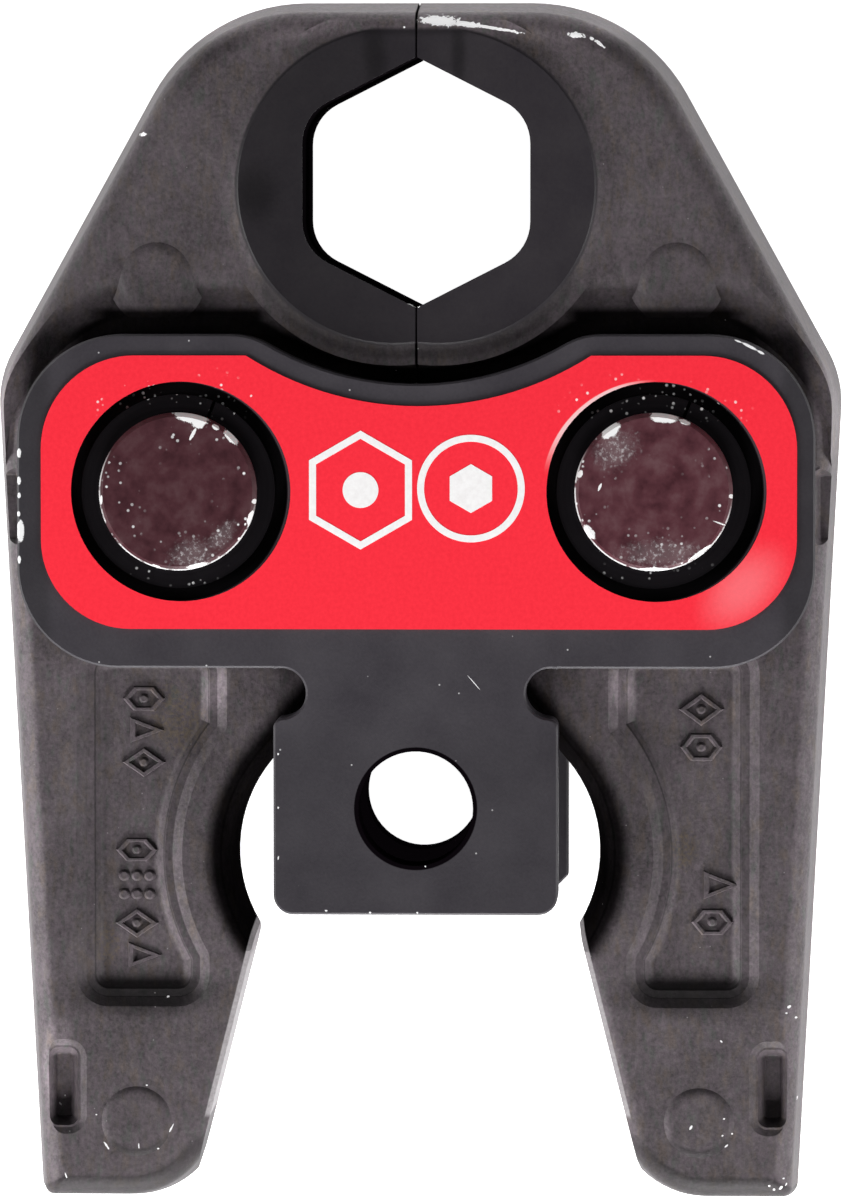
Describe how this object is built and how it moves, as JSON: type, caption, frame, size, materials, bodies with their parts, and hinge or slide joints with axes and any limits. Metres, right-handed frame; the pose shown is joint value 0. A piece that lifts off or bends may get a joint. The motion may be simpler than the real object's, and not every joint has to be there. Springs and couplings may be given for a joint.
{
  "type": "press fitting tool jaw",
  "caption": "Scissor-type pressing jaw for pipe fittings: forged arms on pivot pins between side plates, a shaped mouth, roller legs and a tongue with a locking-pin hole.",
  "frame": {"origin": "centre of the locking-pin hole, at the middle of the jaw's thickness", "axes": "+Y towards the pressing mouth, +X to the right arm, +Z out of the labelled face"},
  "size_m": [0.105, 0.149, 0.0352],
  "materials": {
    "forged_steel": "dark scale on a forged and blasted surface",
    "plate_steel": "black oxide, matt",
    "pin_steel": "ground, browned by oxide",
    "ring_steel": "black oxide, matt",
    "spring_steel": "drawn spring wire",
    "label_film": "printed red film"
  },
  "bodies": {
    "plates": {"side_plate_front": "plate_steel", "side_plate_rear": "plate_steel", "pivot_pin_left": "pin_steel", "pivot_pin_right": "pin_steel", "retaining_ring_front_left": "ring_steel", "retaining_ring_front_right": "ring_steel", "retaining_ring_rear_left": "ring_steel", "retaining_ring_rear_right": "ring_steel", "closing_spring": "spring_steel", "front_label": "label_film"},
    "left_arm": {"jaw_arm_left": "forged_steel"},
    "right_arm": {"jaw_arm_right": "forged_steel"}
  },
  "joints": [
    {"name": "left_arm_hinge", "type": "hinge", "parent": "plates", "child": "left_arm", "pos_m": [-0.0292, 0.039, 0], "axis": [0, 0, 1], "range_deg": [0, 18.5], "stiffness_Nm_per_rad": 1.5, "springref_deg": -45.84, "deforming": ["closing_spring"]},
    {"name": "right_arm_hinge", "type": "hinge", "parent": "plates", "child": "right_arm", "pos_m": [0.0292, 0.039, 0], "axis": [0, 0, -1], "range_deg": [0, 18.5], "stiffness_Nm_per_rad": 1.5, "springref_deg": -45.84, "deforming": ["closing_spring"]}
  ]
}
